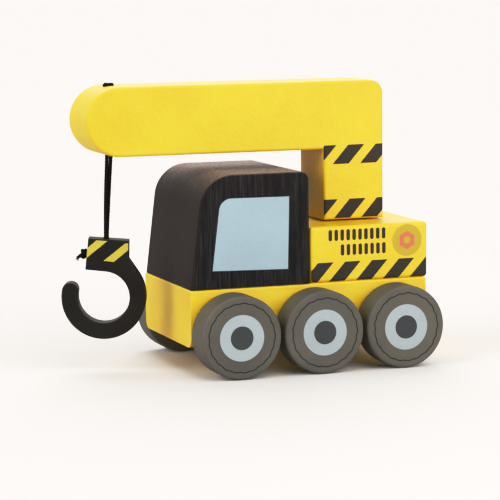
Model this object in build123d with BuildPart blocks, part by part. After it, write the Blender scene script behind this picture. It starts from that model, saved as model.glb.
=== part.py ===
"""Wooden toy crane truck: a six-wheeled block truck with a turning arm and a hook on a cord.

Millimetres. +Z is up, the truck drives towards -X, and Y = 0 is its middle plane. The origin is on
the ground, under the middle of the whole toy's box.
"""

import os
from math import asin, atan2, cos, degrees, pi, radians, sin, tan

from build123d import *

# ---- Wheels and axles
wheel_diameter = 38.0
wheel_width = 14.5
wheel_edge_radius = 1.2
wheel_face_wall = 3.5  # solid wood left between the blind axle bore and the outer face
tread_gap = 2.0  # between neighbouring wheels
axle_diameter = 7.0
axle_clearance = 0.08  # radial, axle in the chassis
wheel_gap = 0.4  # between the chassis side and each wheel

# ---- Chassis block
chassis_width = 67.6
chassis_height = 26.4
chassis_front_overhang = 59.0  # from the middle axle to the front face
chassis_rear_overhang = 56.5  # from the middle axle to the rear face
axle_rise = 5.9  # axle centre line above the underside
chassis_under_radius = 4.5

# ---- Cab block
cab_height = 51.6
cab_front_setback = 0.3  # behind the chassis front
windscreen_lean = 7.0  # degrees from upright
cab_brow_radius = 16.0
cab_back_radius = 4.0
cab_deck_gap = 0.5

# ---- Rear deck block
deck_height = 25.8
deck_length = 58.4
deck_rear_overhang = 0.9  # behind the chassis

# ---- Crane arm: a mast and a boom sawn from one board
arm_thickness = 30.5
mast_length = 30.0
boom_depth = 31.5
boom_over_cab = 8.05  # from the cab's roof to the boom's underside
arm_shoulder_radius = 6.2
nose_flat = 0.02  # left upright at the tip between the nose's two quarter rounds
cord_hole_ahead = 27.05  # in front of the chassis
cord_hole_setback = 14.4  # from the tip of the nose

# ---- Slewing pivot
pivot_diameter = 12.0
pivot_clearance = 0.08  # radial, pivot in the deck
pivot_depth_in_mast = 18.0
thrust_washer_thickness = 0.75
thrust_washer_diameter = 26.0
thrust_washer_clearance = 0.32  # radial, round the pivot
counterbore_diameter = 24.0
counterbore_depth = 7.0
pivot_end_play = 0.3
retainer_diameter = 20.0
retainer_thickness = 1.2
screw_diameter = 3.5
screw_length = 14.0
screw_head_diameter = 8.0
screw_head_height = 2.4
screw_slot_length = 4.4
screw_slot_width = 0.8
screw_slot_depth = 1.2

# ---- Glue dowels
dowel_diameter = 8.0
dowel_length = 24.0
dowel_end_gap = 1.0
cab_dowel_spread = 32.0
deck_dowel_inset = 9.8  # from the deck's side to the dowel's centre

# ---- Hook plate
hook_thickness = 9.0
hook_head_width = 18.4
hook_head_height = 14.5
hook_head_flare = 0.6  # each side, from the top to the bottom of the head
hook_shoulder_drop = 8.5  # from the head's top to where its right side turns outwards
ring_outer_radius = 19.3
ring_inner_radius = 11.9
ring_offset = -0.8  # ring centre from the head's middle
ring_tip_angle = 173.0  # degrees, where the open end stops
ring_drop = 0.3  # from the head's foot to the top of the ring's opening
hook_yaw = -21.0  # degrees, how far the plate has turned on its cord
hook_tilt = 4.0  # degrees, how far the plate hangs to one side

# ---- Cord
cord_diameter = 1.75
cord_pair_gap = 0.1  # between the two strands
cord_hole_clearance = 0.28  # round the pair of strands
cord_drop = 38.1  # from the boom's underside to the head's top
cord_drift = 1.9  # the hook hangs this much further forward than its hole
cord_bow = 0.4  # at the middle of each strand
cord_pair_turn = 58.0  # degrees the pair twists over its length
cord_joint_gap = 1.2  # left for the cord to bend where its solids meet
cord_end_in_hook = 2.0
cord_entry_offset = -1.2  # from the head's middle
side_hole_depth = 7.4  # below the head's top
hook_knot_radius = 2.2
hook_knot_stand_off = 1.54  # from the head's side to the knot's centre
boom_knot_radius = 2.4
boom_knot_height = 1.5
tail_length = 3.4
tail_droop = 38.0  # degrees below the side hole's axis
bunch_diameter = 2.4  # both strands together, inside the hook
bend_share = 0.45  # of the shorter run, taken by the arc at each end of it

# ---- Softened edges
block_edge = 1.0
deck_edge = 1.6
arm_edge = 1.3
hook_edge = 0.6

# ---- Places that follow from the sizes
wheel_radius = wheel_diameter / 2
axle_spacing = wheel_diameter + tread_gap
axle_z = wheel_radius
chassis_bottom_z = axle_z - axle_rise
chassis_top_z = chassis_bottom_z + chassis_height
cab_top_z = chassis_top_z + cab_height
deck_top_z = chassis_top_z + deck_height
mast_foot_z = deck_top_z + thrust_washer_thickness
boom_under_z = cab_top_z + boom_over_cab
boom_top_z = boom_under_z + boom_depth
half_chassis = chassis_width / 2
wheel_inner_y = half_chassis + wheel_gap
wheel_outer_y = wheel_inner_y + wheel_width

# Distances along the truck, first measured from the middle axle.
deck_rear = chassis_rear_overhang + deck_rear_overhang
deck_front = deck_rear - deck_length
cab_rear = deck_front - cab_deck_gap
cab_front = -chassis_front_overhang + cab_front_setback
slew_axis = (deck_front + deck_rear) / 2
cord_hole = -chassis_front_overhang - cord_hole_ahead
nose_tip = cord_hole - cord_hole_setback
hook_entry = cord_hole - cord_drift

# The plate's own directions: across its face, up its face, and out of its face.
yaw = radians(hook_yaw)
tilt = radians(hook_tilt)
plate_across = Vector(cos(yaw) * cos(tilt), sin(yaw) * cos(tilt), -sin(tilt))
plate_out = Vector(sin(yaw), -cos(yaw), 0)
plate_up = plate_out.cross(plate_across)

# The ring's centre in the plate, from the middle of the head's top.
ring_centre_v = -hook_head_height - ring_drop - ring_inner_radius
ring_from_entry = plate_across * (ring_offset - cord_entry_offset) + plate_up * ring_centre_v
flat_half = hook_thickness / 2 - hook_edge
ring_reach = (ring_outer_radius - hook_edge) * cos(yaw) + flat_half * abs(sin(yaw)) + hook_edge
front_reach = -(hook_entry + ring_from_entry.X - ring_reach)
rear_reach = axle_spacing + wheel_radius

# The origin is midway between the two ends, which fixes where the middle axle is.
mid_axle_x = (front_reach - rear_reach) / 2
slew_x = mid_axle_x + slew_axis
cord_x = mid_axle_x + cord_hole
hook_x = mid_axle_x + hook_entry
hook_top_z = boom_under_z - cord_drop
cord_pair_offset = (cord_diameter + cord_pair_gap) / 2
cord_hole_radius = cord_pair_offset + cord_diameter / 2 + cord_hole_clearance

hook_plane = Plane(
    origin=Vector(hook_x, 0, hook_top_z) - plate_across * cord_entry_offset,
    x_dir=plate_across,
    z_dir=plate_out,
)
# Seen from the near side, so that a sketch's X runs along the truck and its Y runs up.
side_plane = Plane(origin=(0, 0, 0), x_dir=(1, 0, 0), z_dir=(0, -1, 0))


def save(builder: BuildPart, name: str) -> None:
    """Labels a finished piece and writes its STEP file."""
    builder.part.label = name
    export_step(builder.part, f"parts/{name}.step")


def make_chassis() -> None:
    """A plain block with three axle bores and four blind dowel holes in its top."""
    with BuildPart() as chassis:
        with BuildSketch(Plane.XY.offset(chassis_bottom_z)):
            with Locations((mid_axle_x - chassis_front_overhang, 0)):
                Rectangle(
                    chassis_front_overhang + chassis_rear_overhang,
                    chassis_width,
                    align=(Align.MIN, Align.CENTER),
                )
        extrude(amount=chassis_height)
        along = chassis.edges().filter_by(Axis.X).group_by(Axis.Z)
        fillet(along[0], radius=chassis_under_radius)
        fillet(chassis.faces().sort_by(Axis.Z)[-1].edges(), radius=block_edge)
        with BuildSketch(side_plane):
            for place in (-axle_spacing, 0, axle_spacing):
                with Locations((mid_axle_x + place, axle_z)):
                    Circle(axle_diameter / 2 + axle_clearance)
        extrude(amount=half_chassis, both=True, mode=Mode.SUBTRACT)
        with BuildSketch(Plane.XY.offset(chassis_top_z)):
            with Locations(*dowel_places()):
                Circle(dowel_diameter / 2)
        extrude(amount=-(dowel_length / 2 + dowel_end_gap), mode=Mode.SUBTRACT)
    save(chassis, "chassis")


def dowel_places() -> list[tuple[float, float]]:
    """Centres of the glue dowels: a pair under the cab and a pair under the deck."""
    cab_x = mid_axle_x + (cab_front + cab_rear) / 2
    cab_pair = [(cab_x, side * cab_dowel_spread / 2) for side in (-1, 1)]
    deck_pair = [(slew_x, side * (half_chassis - deck_dowel_inset)) for side in (-1, 1)]
    return cab_pair + deck_pair


def make_cab() -> None:
    """The cab's side outline pulled across the truck: leaning front, big brow, small back corner."""
    front = mid_axle_x + cab_front
    rear = mid_axle_x + cab_rear
    lean = cab_height * tan(radians(windscreen_lean))
    with BuildPart() as cab:
        with BuildSketch(side_plane):
            with BuildLine():
                Polyline(
                    (front, chassis_top_z),
                    (rear, chassis_top_z),
                    (rear, cab_top_z),
                    (front + lean, cab_top_z),
                    close=True,
                )
            make_face()
            fillet(vertices().group_by(Axis.Y)[-1].sort_by(Axis.X)[-1], radius=cab_back_radius)
            fillet(vertices().group_by(Axis.Y)[-1].sort_by(Axis.X)[0], radius=cab_brow_radius)
        extrude(amount=half_chassis, both=True)
        sides = cab.faces().filter_by(Axis.Y)
        outline = [edge for edge in sides.edges() if edge.center().Z > chassis_top_z + block_edge]
        fillet(outline, radius=block_edge)
        with BuildSketch(Plane.XY.offset(chassis_top_z)):
            with Locations(*dowel_places()[:2]):
                Circle(dowel_diameter / 2)
        extrude(amount=dowel_length / 2 + dowel_end_gap, mode=Mode.SUBTRACT)
    save(cab, "cab")


def make_rear_deck() -> None:
    """The block behind the cab, bored for the slewing pivot and counterbored from below."""
    with BuildPart() as deck:
        with BuildSketch(Plane.XY.offset(chassis_top_z)):
            with Locations((slew_x, 0)):
                Rectangle(deck_length, chassis_width)
        extrude(amount=deck_height)
        fillet(deck.edges(), radius=deck_edge)
        with BuildSketch(Plane.XY.offset(chassis_top_z)):
            with Locations((slew_x, 0)):
                Circle(pivot_diameter / 2 + pivot_clearance)
        extrude(amount=deck_height, mode=Mode.SUBTRACT)
        with BuildSketch(Plane.XY.offset(chassis_top_z)):
            with Locations((slew_x, 0)):
                Circle(counterbore_diameter / 2)
        extrude(amount=counterbore_depth, mode=Mode.SUBTRACT)
        with BuildSketch(Plane.XY.offset(chassis_top_z)):
            with Locations(*dowel_places()[2:]):
                Circle(dowel_diameter / 2)
        extrude(amount=dowel_length / 2 + dowel_end_gap, mode=Mode.SUBTRACT)
    save(deck, "rear_deck")


def make_glue_dowels() -> None:
    """Four identical dowels that hold the cab and the deck down on the chassis."""
    with BuildPart() as dowels:
        with BuildSketch(Plane.XY.offset(chassis_top_z - dowel_length / 2)):
            with Locations(*dowel_places()):
                Circle(dowel_diameter / 2)
        extrude(amount=dowel_length)
    save(dowels, "glue_dowels")


def make_crane_arm() -> None:
    """Mast and boom in one board: full-round nose, rounded shoulder, pivot socket, cord hole."""
    mast_front = slew_x - mast_length / 2
    mast_rear = slew_x + mast_length / 2
    nose_radius = (boom_depth - nose_flat) / 2
    with BuildPart() as arm:
        with BuildSketch(side_plane):
            with BuildLine():
                Polyline(
                    (mast_front, mast_foot_z),
                    (mast_rear, mast_foot_z),
                    (mast_rear, boom_top_z),
                    (mid_axle_x + nose_tip, boom_top_z),
                    (mid_axle_x + nose_tip, boom_under_z),
                    (mast_front, boom_under_z),
                    close=True,
                )
            make_face()
            fillet(vertices().group_by(Axis.X)[0], radius=nose_radius)
            fillet(vertices().group_by(Axis.X)[-1].sort_by(Axis.Y)[-1], radius=arm_shoulder_radius)
        extrude(amount=arm_thickness / 2, both=True)
        fillet(arm.faces().filter_by(Axis.Y).edges(), radius=arm_edge)
        with BuildSketch(Plane.XY.offset(mast_foot_z)):
            with Locations((slew_x, 0)):
                Circle(pivot_diameter / 2)
        extrude(amount=pivot_depth_in_mast + dowel_end_gap, mode=Mode.SUBTRACT)
        with BuildSketch(Plane.XY.offset(boom_under_z)):
            with Locations((cord_x, 0)):
                Circle(cord_hole_radius)
        extrude(amount=boom_depth, mode=Mode.SUBTRACT)
    save(arm, "crane_arm")


def make_slewing_parts() -> None:
    """The pivot dowel, its thrust washer, and the washer and screw that hold it in the deck."""
    pivot_low_z = chassis_top_z + counterbore_depth - pivot_end_play
    with BuildPart() as pivot:
        with BuildSketch(Plane.XY.offset(pivot_low_z)):
            with Locations((slew_x, 0)):
                Circle(pivot_diameter / 2)
        extrude(amount=mast_foot_z + pivot_depth_in_mast - pivot_low_z)
        chamfer(pivot.faces().sort_by(Axis.Z)[-1].edges(), length=block_edge)
        with BuildSketch(Plane.XY.offset(pivot_low_z)):
            with Locations((slew_x, 0)):
                Circle(screw_diameter / 2)
        extrude(amount=screw_length, mode=Mode.SUBTRACT)
    save(pivot, "slew_pivot")

    with BuildPart() as thrust_washer:
        with BuildSketch(Plane.XY.offset(deck_top_z)):
            with Locations((slew_x, 0)):
                Circle(thrust_washer_diameter / 2)
                Circle(pivot_diameter / 2 + thrust_washer_clearance, mode=Mode.SUBTRACT)
        extrude(amount=thrust_washer_thickness)
    save(thrust_washer, "thrust_washer")

    with BuildPart() as retainer:
        with BuildSketch(Plane.XY.offset(pivot_low_z - retainer_thickness)):
            with Locations((slew_x, 0)):
                Circle(retainer_diameter / 2)
                Circle(screw_diameter / 2, mode=Mode.SUBTRACT)
        extrude(amount=retainer_thickness)
    save(retainer, "retainer_washer")

    head_top_z = pivot_low_z - retainer_thickness
    with BuildPart() as screw:
        with BuildSketch(Plane.XY.offset(head_top_z)):
            with Locations((slew_x, 0)):
                Circle(screw_head_diameter / 2)
        extrude(amount=-screw_head_height)
        fillet(screw.faces().sort_by(Axis.Z)[0].edges(), radius=block_edge)
        with BuildSketch(Plane.XY.offset(head_top_z)):
            with Locations((slew_x, 0)):
                Circle(screw_diameter / 2)
        extrude(amount=retainer_thickness + screw_length)
        with BuildSketch(Plane.XY.offset(head_top_z - screw_head_height)):
            with Locations((slew_x, 0)):
                Rectangle(screw_slot_length, screw_slot_width)
                Rectangle(screw_slot_width, screw_slot_length)
        extrude(amount=screw_slot_depth, mode=Mode.SUBTRACT)
    save(screw, "slew_screw")


def make_axle(name: str, x: float) -> None:
    """A dowel that reaches into the blind bore of the wheel on each side."""
    with BuildPart() as axle:
        with BuildSketch(side_plane):
            with Locations((x, axle_z)):
                Circle(axle_diameter / 2)
        extrude(amount=wheel_outer_y - wheel_face_wall - dowel_end_gap, both=True)
    save(axle, name)


def make_wheel(name: str, x: float, side: int) -> None:
    """A turned disc with a softened rim and a blind bore in its inner face; side is -1 or 1."""
    middle = side * (wheel_inner_y + wheel_width / 2)
    with BuildPart() as wheel:
        with BuildSketch(side_plane.offset(-middle)):
            with Locations((x, axle_z)):
                Circle(wheel_radius)
        extrude(amount=wheel_width / 2, both=True)
        rims = wheel.edges().filter_by(GeomType.CIRCLE).sort_by(Axis.Y)
        outer_rim = rims[-1] if side > 0 else rims[0]
        inner_rim = rims[0] if side > 0 else rims[-1]
        fillet(outer_rim, radius=wheel_edge_radius)
        fillet(inner_rim, radius=block_edge)
        with BuildSketch(side_plane.offset(-side * wheel_inner_y)):
            with Locations((x, axle_z)):
                Circle(axle_diameter / 2)
        extrude(amount=-side * (wheel_width - wheel_face_wall), mode=Mode.SUBTRACT)
    save(wheel, name)


def make_hook() -> None:
    """A flat plate: a square head over an open ring with a round tip, bored for the cord."""
    half_head = hook_head_width / 2
    foot_half = half_head + hook_head_flare
    shoulder_half = half_head + hook_head_flare * hook_shoulder_drop / hook_head_height
    centre = Vector(ring_offset, ring_centre_v)
    # The head's right side runs on as the tangent to the ring's outside.
    shoulder = Vector(shoulder_half, -hook_shoulder_drop) - centre
    lift = degrees(atan2(shoulder.Y, shoulder.X))
    meet_angle = lift - 90 + degrees(asin(ring_outer_radius / shoulder.length))
    mid_radius = (ring_outer_radius + ring_inner_radius) / 2
    tip_radius = (ring_outer_radius - ring_inner_radius) / 2
    outer_sweep = ring_tip_angle - 360 - meet_angle
    end = radians(ring_tip_angle)
    tip_at = centre + Vector(cos(end), sin(end)) * mid_radius
    beyond = tip_at + Vector(sin(end), -cos(end)) * tip_radius
    with BuildPart() as hook:
        with BuildSketch(hook_plane):
            with BuildLine():
                outer = CenterArc(centre, ring_outer_radius, meet_angle, outer_sweep)
                Line(outer @ 0, (shoulder_half, -hook_shoulder_drop))
                Polyline(
                    (shoulder_half, -hook_shoulder_drop),
                    (half_head, 0),
                    (-half_head, 0),
                    (-foot_half, -hook_head_height),
                    (ring_offset, centre.Y + ring_inner_radius),
                )
                inner = CenterArc(centre, ring_inner_radius, 90, ring_tip_angle - 450)
                ThreePointArc(outer @ 1, beyond, inner @ 1)
            make_face()
        extrude(amount=hook_thickness / 2, both=True)
        fillet(hook.faces().filter_by(hook_plane).edges(), radius=hook_edge)
        across = Plane(origin=hook_plane.origin, x_dir=plate_out, z_dir=plate_up)
        with BuildSketch(across):
            with Locations((0, cord_entry_offset)):
                Circle(cord_hole_radius)
        extrude(amount=-(side_hole_depth + cord_hole_radius), mode=Mode.SUBTRACT)
        with BuildSketch(side_hole_plane()):
            Circle(cord_hole_radius)
        extrude(amount=foot_half + cord_entry_offset, mode=Mode.SUBTRACT)
    save(hook, "hook")


def plate_point(across: float, up: float) -> Vector:
    """A point in the hook plate's middle plane, from the middle of the head's top."""
    return hook_plane.origin + plate_across * across + plate_up * up


def side_hole_plane() -> Plane:
    """On the head's left side, at the side hole's mouth, facing into the head."""
    depth_share = side_hole_depth / hook_head_height
    mouth = plate_point(-hook_head_width / 2 - hook_head_flare * depth_share, -side_hole_depth)
    return Plane(origin=mouth, x_dir=plate_out, z_dir=plate_across)


def make_tube(name: str, points: list[Vector], diameter: float) -> None:
    """A cord's solid: straight runs joined by tangent arcs, as large as the runs allow."""
    radii = []
    for before, corner, after in zip(points, points[1:], points[2:]):
        turn = (corner - before).get_angle(after - corner)
        shorter = min((corner - before).length, (after - corner).length)
        radii.append(bend_share * shorter / tan(radians(turn) / 2))
    with BuildPart() as tube:
        with BuildLine():
            if radii:
                path = FilletPolyline(*points, radius=radii)
            else:
                path = Line(*points)
        with BuildSketch(Plane(origin=path @ 0, z_dir=path % 0)):
            Circle(diameter / 2)
        sweep(path=path)
    expected = pi * (diameter / 2) ** 2 * path.length
    print(name, "length", round(path.length, 2), "radii", [round(r, 1) for r in radii])
    print(name, "volume over section times length", round(tube.part.volume / expected, 4))
    save(tube, name)


def make_cords() -> None:
    """Two strands side by side: short ones in the boom, the hanging pair, the turn in the hook."""
    down = Vector(hook_x - cord_x, 0, -cord_drop).normalized()
    turned = radians(cord_pair_turn)
    top_centre = Vector(cord_x, 0, boom_under_z)
    low_centre = Vector(hook_x, 0, hook_top_z) + down * cord_end_in_hook
    middle_centre = (top_centre + low_centre) * 0.5 - Vector(cord_bow, 0, 0)
    # A smooth line cuts inside its middle point, so that point stands out by as much.
    middle_share = 2 - cos(turned / 2)
    for name, side in (("front", -1), ("rear", 1)):
        aside = side * cord_pair_offset
        high = top_centre + Vector(aside, 0, 0)
        half_way = Vector(cos(turned / 2), sin(turned / 2), 0) * aside * middle_share
        middle = middle_centre + half_way
        low = low_centre + Vector(cos(turned), sin(turned), 0) * aside
        make_tube(f"lift_cord_{name}", [high, middle, low], cord_diameter)
        top = Vector(high.X, 0, boom_top_z)
        make_tube(f"boom_cord_{name}", [top, high + Vector(0, 0, cord_joint_gap)], cord_diameter)
    start = plate_point(cord_entry_offset, -cord_end_in_hook - cord_joint_gap)
    corner = plate_point(cord_entry_offset, -side_hole_depth)
    finish = side_hole_plane().origin
    make_tube("hook_cord", [start, corner, finish], bunch_diameter)


def make_knots() -> None:
    """The stopper knot on the boom and the knot with its cut tail at the hook's side hole."""
    half_way = radians(45)
    with BuildPart() as boom_knot:
        with BuildSketch(side_plane):
            with BuildLine():
                brow = (
                    cord_x + boom_knot_radius * cos(half_way),
                    boom_top_z + boom_knot_height * sin(half_way),
                )
                peak = (cord_x, boom_top_z + boom_knot_height)
                dome = ThreePointArc(peak, brow, (cord_x + boom_knot_radius, boom_top_z))
                Polyline(dome @ 1, (cord_x, boom_top_z), dome @ 0)
            make_face()
        revolve(axis=Axis((cord_x, 0, 0), (0, 0, 1)))
    save(boom_knot, "boom_knot")

    mouth = side_hole_plane()
    droop = radians(tail_droop)
    tail_way = plate_across * -cos(droop) + plate_up * -sin(droop)
    knot_centre = mouth.origin - plate_across * hook_knot_stand_off
    lean = atan2(hook_head_flare, hook_head_height)
    head_side = Plane(origin=mouth.origin, z_dir=plate_across * -cos(lean) + plate_up * sin(lean))
    with BuildPart() as hook_knot:
        with Locations(Location(knot_centre)):
            Sphere(hook_knot_radius)
        split(bisect_by=head_side, keep=Keep.TOP)
        with BuildSketch(Plane(origin=knot_centre, z_dir=tail_way)):
            Circle(cord_diameter / 2)
        extrude(amount=tail_length)
    save(hook_knot, "hook_knot")


def main() -> None:
    """Builds every piece and writes its STEP file."""
    os.makedirs("parts", exist_ok=True)
    make_chassis()
    make_cab()
    make_rear_deck()
    make_glue_dowels()
    make_crane_arm()
    make_slewing_parts()
    for row, place in (("front", -axle_spacing), ("middle", 0), ("rear", axle_spacing)):
        make_axle(f"{row}_axle", mid_axle_x + place)
        make_wheel(f"{row}_wheel_near", mid_axle_x + place, -1)
        make_wheel(f"{row}_wheel_far", mid_axle_x + place, 1)
    make_hook()
    make_cords()
    make_knots()


main()
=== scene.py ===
"""Looks of a painted wooden toy crane truck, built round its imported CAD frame.

Metres, +Z up, and the truck drives towards -X. CAD pieces keep their own meshes and only get
finishes. Prints, cords and knots are new pieces that ride on the CAD bodies.
"""

import logging
import math
import random
from dataclasses import dataclass
from enum import Enum

import bmesh
import bpy
from mathutils import Matrix, Vector


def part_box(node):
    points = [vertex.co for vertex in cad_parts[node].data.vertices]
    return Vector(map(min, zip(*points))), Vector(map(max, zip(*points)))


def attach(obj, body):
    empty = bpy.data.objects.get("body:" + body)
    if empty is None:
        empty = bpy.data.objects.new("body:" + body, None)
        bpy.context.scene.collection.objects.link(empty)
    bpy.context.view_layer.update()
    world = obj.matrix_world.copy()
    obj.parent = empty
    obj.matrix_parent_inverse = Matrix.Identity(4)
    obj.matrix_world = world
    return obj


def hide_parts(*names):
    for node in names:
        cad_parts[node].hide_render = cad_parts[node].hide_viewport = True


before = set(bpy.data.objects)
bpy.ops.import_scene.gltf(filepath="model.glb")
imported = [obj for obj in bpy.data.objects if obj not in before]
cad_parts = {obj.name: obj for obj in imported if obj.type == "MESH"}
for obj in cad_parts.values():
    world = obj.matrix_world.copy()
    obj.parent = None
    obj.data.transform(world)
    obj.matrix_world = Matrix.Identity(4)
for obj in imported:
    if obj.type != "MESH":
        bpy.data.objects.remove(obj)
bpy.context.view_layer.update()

logging.basicConfig(level=logging.INFO, format="%(message)s")
log = logging.getLogger("crane_truck")

MM = 0.001
FACET_ANGLE = math.radians(32)  # a steeper fold than this stays sharp
PRINT_PROUD = 0.00005  # how far a print stands off its surface
MERGE = 1e-6  # points closer than this are one
ON_PLANE = 1e-8  # points closer to a cutting plane than this lie in it
FACING = 0.05  # the least that a printed face looks out of its board
Colour = tuple[float, float, float]
Spot = tuple[float, float, float]
Flat = tuple[float, float]
Outline = list[Flat]
Mesh = bmesh.types.BMesh
Node = bpy.types.Node
Socket = bpy.types.NodeSocket
Tree = bpy.types.NodeTree


class Side(Enum):
    """The two sides of the truck, by the sign of Y."""

    NEAR = -1
    FAR = 1


def linear(red: int, green: int, blue: int) -> Colour:
    """Turns an 8-bit display colour into the linear one that shaders use.

    Args:
        red: red, 0 to 255.
        green: green, 0 to 255.
        blue: blue, 0 to 255.

    Returns:
        The linear colour.
    """
    shares = [value / 255 for value in (red, green, blue)]
    return tuple(s / 12.92 if s <= 0.04045 else ((s + 0.055) / 1.055) ** 2.4 for s in shares)


def rgba(colour: Colour) -> tuple[float, float, float, float]:
    """Adds a full alpha to a colour."""
    return (*colour, 1.0)


# ---- node groups


class Effects:
    """Shader node groups that several finishes share, each built once."""

    made: dict[str, Tree] = {}
    edge_break_scale: float = 420.0  # breaks in the edge mark, per metre: rubbed wear on the stain, a painted highlight on the paint
    edge_break_start: float = 0.3  # the noise level where the edge mark begins
    edge_break_gain: float = 2.2  # how fast it fills in above that
    bevel_samples: int = 6
    streak_scale: float = 820.0
    coarse_scale: float = 160.0
    coarse_share: float = 0.55  # how much of the coarse dimples joins the fine ones
    depth_scale: float = 38.0

    @classmethod
    def group(cls, name: str) -> Tree:
        """Gives a shared group, and builds it the first time.

        Args:
            name: one of edge_wear_and_highlight, wood_grain or paint_skin.

        Returns:
            The node group.
        """
        if name not in cls.made:
            cls.made[name] = getattr(cls, "_" + name)()
        return cls.made[name]

    @staticmethod
    def _start(
        name: str, inputs: dict[str, float], outputs: dict[str, str]
    ) -> tuple[Tree, Node, Node]:
        """Makes an empty group with its sockets.

        Args:
            name: the group's name.
            inputs: each value input and its default.
            outputs: each output and its socket type.

        Returns:
            The group, its input node and its output node.
        """
        tree = bpy.data.node_groups.new(name, "ShaderNodeTree")
        for label, default in inputs.items():
            socket = tree.interface.new_socket(label, in_out="INPUT", socket_type="NodeSocketFloat")
            socket.default_value = default
        for label, kind in outputs.items():
            tree.interface.new_socket(label, in_out="OUTPUT", socket_type=kind)
        return tree, tree.nodes.new("NodeGroupInput"), tree.nodes.new("NodeGroupOutput")

    @classmethod
    def _edge_wear_and_highlight(cls) -> Tree:
        """A mask that is 1 on softened edges and breaks up unevenly along them: rubbed wear on the
        stain, a painted highlight on the paint.
        """
        tree, entry, result = cls._start(
            "edge_wear_and_highlight",
            {"Width": 0.0009, "Sharpness": 3.0, "Break": 0.5},
            {"Mask": "NodeSocketFloat"},
        )
        kit = NodeKit(tree)
        bevel = kit.add("ShaderNodeBevel")
        bevel.samples = cls.bevel_samples
        tree.links.new(entry.outputs["Width"], bevel.inputs["Radius"])
        surface = kit.add("ShaderNodeNewGeometry")
        dot = kit.add("ShaderNodeVectorMath", operation="DOT_PRODUCT")
        tree.links.new(bevel.outputs["Normal"], dot.inputs[0])
        tree.links.new(surface.outputs["Normal"], dot.inputs[1])
        away = kit.math("SUBTRACT", 1.0, dot.outputs["Value"])
        scaled = kit.math("MULTIPLY", away, entry.outputs["Sharpness"])
        noise = kit.noise(cls.edge_break_scale, detail=3.0)
        risen = kit.math("SUBTRACT", noise, cls.edge_break_start)
        broken = kit.math("MULTIPLY", risen, cls.edge_break_gain, clamp=True)
        kept = kit.math("SUBTRACT", 1.0, entry.outputs["Break"])
        share = kit.math("MULTIPLY_ADD", broken, entry.outputs["Break"], kept)
        mask = kit.math("MULTIPLY", scaled, share, clamp=True)
        tree.links.new(mask, result.inputs["Mask"])
        return tree

    @classmethod
    def _wood_grain(cls) -> Tree:
        """Fine pores and slower streaks that run up the block."""
        tree, entry, result = cls._start(
            "wood_grain",
            {"Pore": 2600.0, "Stretch": 0.035},
            {"Pores": "NodeSocketFloat", "Streaks": "NodeSocketFloat"},
        )
        kit = NodeKit(tree)
        place = kit.add("ShaderNodeTexCoord").outputs["Object"]
        squeeze = kit.add("ShaderNodeCombineXYZ")
        squeeze.inputs["X"].default_value = 1.0
        squeeze.inputs["Y"].default_value = 1.0
        tree.links.new(entry.outputs["Stretch"], squeeze.inputs["Z"])
        along = kit.add("ShaderNodeVectorMath", operation="MULTIPLY")
        tree.links.new(place, along.inputs[0])
        tree.links.new(squeeze.outputs["Vector"], along.inputs[1])
        pores = kit.noise(1.0, detail=2.0, roughness=0.6, vector=along.outputs["Vector"])
        tree.links.new(entry.outputs["Pore"], pores.node.inputs["Scale"])
        streaks = kit.noise(
            cls.streak_scale, detail=4.0, roughness=0.65, vector=along.outputs["Vector"]
        )
        tree.links.new(pores, result.inputs["Pores"])
        tree.links.new(streaks, result.inputs["Streaks"])
        return tree

    @classmethod
    def _paint_skin(cls) -> Tree:
        """The dimpled skin of sprayed paint over wood: a height, and a slow change of depth."""
        tree, entry, result = cls._start(
            "paint_skin",
            {"Dimple": 700.0},
            {"Height": "NodeSocketFloat", "Depth": "NodeSocketFloat"},
        )
        kit = NodeKit(tree)
        place = kit.add("ShaderNodeTexCoord").outputs["Object"]
        fine = kit.noise(1.0, detail=2.5, roughness=0.55, vector=place)
        tree.links.new(entry.outputs["Dimple"], fine.node.inputs["Scale"])
        coarse = kit.noise(cls.coarse_scale, detail=2.0, roughness=0.5, vector=place)
        height = kit.math("MULTIPLY_ADD", coarse, cls.coarse_share, fine)
        depth = kit.noise(cls.depth_scale, detail=3.0, roughness=0.55, vector=place)
        tree.links.new(height, result.inputs["Height"])
        tree.links.new(depth, result.inputs["Depth"])
        return tree


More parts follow.
